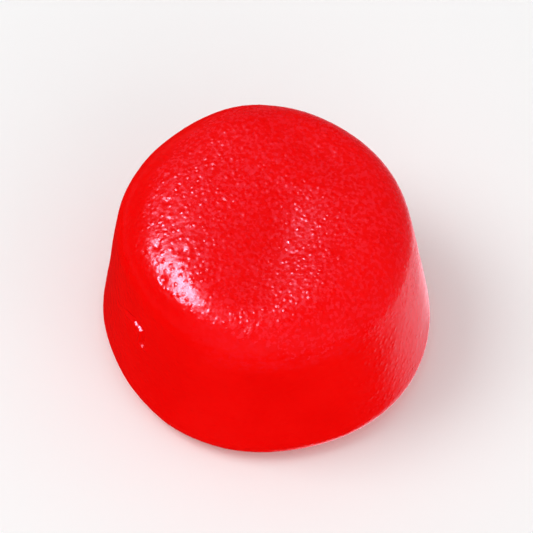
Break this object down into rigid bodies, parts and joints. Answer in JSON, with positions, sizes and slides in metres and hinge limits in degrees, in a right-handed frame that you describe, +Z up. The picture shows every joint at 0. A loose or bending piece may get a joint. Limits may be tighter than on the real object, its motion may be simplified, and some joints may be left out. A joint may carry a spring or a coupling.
{
  "type": "chewy candy",
  "caption": "Soft red fruit candy: a short, slightly uneven cone on a wide flat base, with a rounded shoulder and a pebbled top that slopes and has sunk in soft dents.",
  "frame": {"origin": "on the surface that the candy stands on, under the middle of its widest outline", "axes": "+Z up from the wide base to the narrow top; +X and +Y lie along the surface"},
  "size_m": [0.0182, 0.018, 0.0118],
  "materials": {
    "candy": "clear saturated red jelly, glossy, smooth on the sides and finely pebbled on the top"
  },
  "bodies": {
    "root": {"candy": "candy"}
  },
  "joints": []
}
